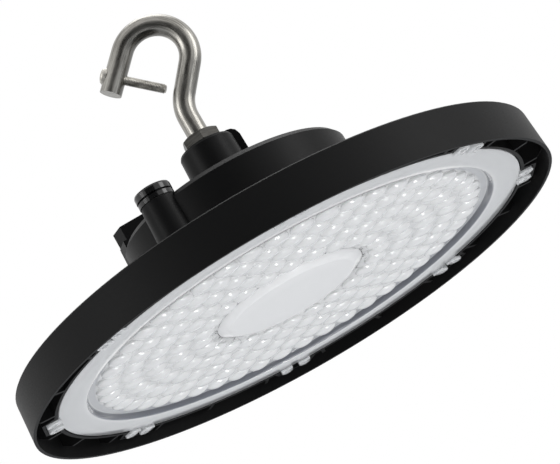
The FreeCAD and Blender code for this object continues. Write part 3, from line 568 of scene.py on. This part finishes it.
# ------------------- hook locking screw: built along Z from its face, sizes in mm
screw_low, screw_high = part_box("hook_locking_screw")
screw_lean = math.radians(46.6)
head_radius = screw_high.y / MM
head_thick = 3.6
head_sides = 48
thread_radius = 2.4
thread_root = 2.0
thread_sides = 24
pitch = 0.8
rows_in_pitch = 6
flank_slope = 1.3
root_flat = 0.1
tip_length = 0.9
tip_slope = 0.6
face_x = screw_low.x / MM + head_radius * math.cos(screw_lean)
face_z = screw_high.z / MM - head_radius * math.sin(screw_lean)
reach = (screw_high.x / MM - face_x
         - thread_radius * math.cos(screw_lean)) / math.sin(screw_lean)

screw = bmesh.new()
turned(screw, [
    (0, 0.0), (2.0, 0.02), (head_radius - 1.6, 0.15), (head_radius - 0.7, 0.55),
    (head_radius - 0.2, 1.2), (head_radius, 2.0), (head_radius, head_thick - 0.2),
    (head_radius - 0.2, head_thick), (thread_root, head_thick)], head_sides)
thread = []
for row in range(int((reach - head_thick) / (pitch / rows_in_pitch))):
    z = head_thick + row * pitch / rows_in_pitch
    ring = []
    for step in range(thread_sides):
        turn = step / thread_sides
        wave = abs(((z / pitch - turn) % 1.0) - 0.5) * 2
        crest = min(1.0, max(0.0, flank_slope * wave - root_flat))
        radius = thread_root + (thread_radius - thread_root) * crest
        radius -= max(0.0, z - (reach - tip_length)) * tip_slope
        ring.append(screw.verts.new((radius * math.cos(2 * math.pi * turn),
                                     radius * math.sin(2 * math.pi * turn), z)))
    thread.append(ring)
thread.append([screw.verts.new((0, 0, thread[-1][0].co.z))])
skin_all(screw, thread)

# the cross recess in the screw's head: its cutter starts outside and narrows inward
long_arm = head_radius * 0.52
short_arm = head_radius * 0.15
cutter_start = -1.0
cutter_end = head_thick * 0.5
cutter_taper = 0.75
recess_outline = []
for quarter in range(4):
    across, along = math.cos(math.pi / 2 * quarter), math.sin(math.pi / 2 * quarter)
    for x, y in ((long_arm, -short_arm), (long_arm, short_arm), (short_arm, short_arm)):
        recess_outline.append((x * across - y * along, x * along + y * across))
recess = bmesh.new()
wide = [recess.verts.new((x, y, cutter_start)) for x, y in recess_outline]
deep = [recess.verts.new((x * cutter_taper, y * cutter_taper, cutter_end))
        for x, y in recess_outline]
skin(recess, wide, deep)
recess.faces.new(wide)
recess.faces.new(deep)

inward = Vector((math.sin(screw_lean), 0, -math.cos(screw_lean)))
screw_place = pointed((face_x, 0, face_z), inward, "Z")
for shape in (screw, recess):
    bmesh.ops.transform(shape, matrix=screw_place, verts=shape.verts)
    bmesh.ops.recalc_face_normals(shape, faces=shape.faces)
bmesh.ops.scale(recess, vec=(MM, MM, MM), verts=recess.verts)
cutter_data = bpy.data.meshes.new("recess")
recess.to_mesh(cutter_data)
recess.free()
cutter = placed("recess", cutter_data)
locking_screw = piece("threaded_locking_screw", screw, screw_steel)
cut = locking_screw.modifiers.new("recess", "BOOLEAN")
cut.operation = "DIFFERENCE"
cut.solver = "EXACT"
cut.object = cutter
bpy.context.view_layer.update()
cut_mesh = bpy.data.meshes.new_from_object(
    locking_screw.evaluated_get(bpy.context.evaluated_depsgraph_get()))
locking_screw.modifiers.clear()
locking_screw.data = cut_mesh
bpy.data.objects.remove(cutter)
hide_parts("hook_locking_screw")

# --------------------------------------------------------- camera and lamps
eye = Vector((0.0, -1.119, -0.2778))
aim = Vector((0.0104, -0.0095, 0.033))
camera_roll = math.radians(-30.18)
camera_data = bpy.data.cameras.new("camera")
camera_data.sensor_width = 36.0
camera_data.lens = 155.9
camera_data.clip_start = 0.05
camera = placed("camera", camera_data)
camera.matrix_world = pointed(eye, aim - eye, "-Z") @ Matrix.Rotation(camera_roll, 4, "Z")
bpy.context.scene.camera = camera


def lamp(name, place, target, size, power, tall=None):
    """An area lamp aimed at a target; sizes in metres, power in watts."""
    data = bpy.data.lights.new(name, "AREA")
    data.energy = power
    data.size = size
    if tall:
        data.shape = "RECTANGLE"
        data.size_y = tall
    made = placed(name, data)
    made.matrix_world = pointed(place, Vector(target) - Vector(place), "-Z")


lamp("key_light", (-1.5, -0.9, 1.0), (0, 0, 0.05), 0.7, 7.0)
lamp("side_light", (1.6, -0.5, 0.3), (0, 0, 0.05), 0.7, 12.0, 1.4)
lamp("low_light", (0.1, -0.7, -1.3), (0, 0, 0), 1.2, 7.5)
lamp("strip_light", (0.15, 0.3, -1.3), (0, 0, 0), 0.06, 4.5, 0.45)
lamp("top_light", (0.4, 0.7, 1.9), (0, 0, 0.1), 1.2, 13.0)


# ------------------------------------------------------------ stage and world
def stage_board(name, corners, paint):
    """A thin flat board on the stage."""
    mesh = bmesh.new()
    mesh.faces.new([mesh.verts.new(corner) for corner in corners])
    bmesh.ops.subdivide_edges(mesh, edges=mesh.edges, cuts=3, use_grid_fill=True)
    data = bpy.data.meshes.new(name)
    mesh.to_mesh(data)
    mesh.free()
    data.materials.append(paint)
    made = placed(name, data)
    return made


# a pale floor far below, which mostly glows where the camera looks straight at it
floor_half = 30.0
floor_level = -3.0
glow_share = 0.7
floor_paint = new_paint("pale_floor")
floor_cloud = floor_paint.noise(2.0)
floor_matt = floor_paint.principled(
    Base_Color=floor_paint.mix(floor_cloud, grey(0.86), grey(0.89)),
    Roughness=0.8 + (floor_cloud - 0.5) * 0.1)
floor_glow = floor_paint.node("ShaderNodeEmission", None, {
    "Color": grey(1.0), "Strength": 0.95})
looked_at = floor_paint.node("ShaderNodeLightPath", out="Is Camera Ray")
floor_coat = floor_paint.output(floor_paint.node("ShaderNodeMixShader", None, {
    0: looked_at * glow_share, 1: floor_matt, 2: floor_glow}))
stage_board("floor", [
    (x * floor_half, y * floor_half, floor_level)
    for x, y in ((-1, -1), (1, -1), (1, 1), (-1, 1))], floor_coat)

# a dark board behind the camera, which darkens reflections and shades the front a
# little; the camera doesn't see it
flag_left, flag_right, flag_low, flag_high = -1.1, 0.8, -0.9, 1.2
flag_y = -1.7
flag_paint = new_paint("dark_flag")
flag_cloud = flag_paint.noise(3.0)
flag_coat = flag_paint.finish(
    Base_Color=flag_paint.mix(flag_cloud, grey(0.03), grey(0.04)),
    Roughness=0.9 + (flag_cloud - 0.5) * 0.1)
flag = stage_board("dark_flag", [
    (flag_left, flag_y, flag_low), (flag_right, flag_y, flag_low),
    (flag_right, flag_y, flag_high), (flag_left, flag_y, flag_high)], flag_coat)
flag.visible_camera = False

# white to the camera, in reflections and through clear parts; dimmer as a light
studio = Paint(bpy.data.worlds.new("studio"))
bpy.context.scene.world = studio.owner
camera_ray, through_ray, glossy_ray = (
    studio.node("ShaderNodeLightPath", out=kind)
    for kind in ("Is Camera Ray", "Is Transmission Ray", "Is Glossy Ray"))
plain = studio.node("ShaderNodeBackground", None, {
    "Color": (0.75, 0.77, 0.8), "Strength": 0.8})
white = studio.node("ShaderNodeBackground", None, {
    "Color": grey(1.0), "Strength": 1.0})
either = studio.node("ShaderNodeMixShader", None, {
    0: camera_ray.larger(through_ray).larger(glossy_ray), 1: plain, 2: white})
studio.node("ShaderNodeOutputWorld", None, {"Surface": either})

bpy.context.scene.view_settings.view_transform = "Standard"
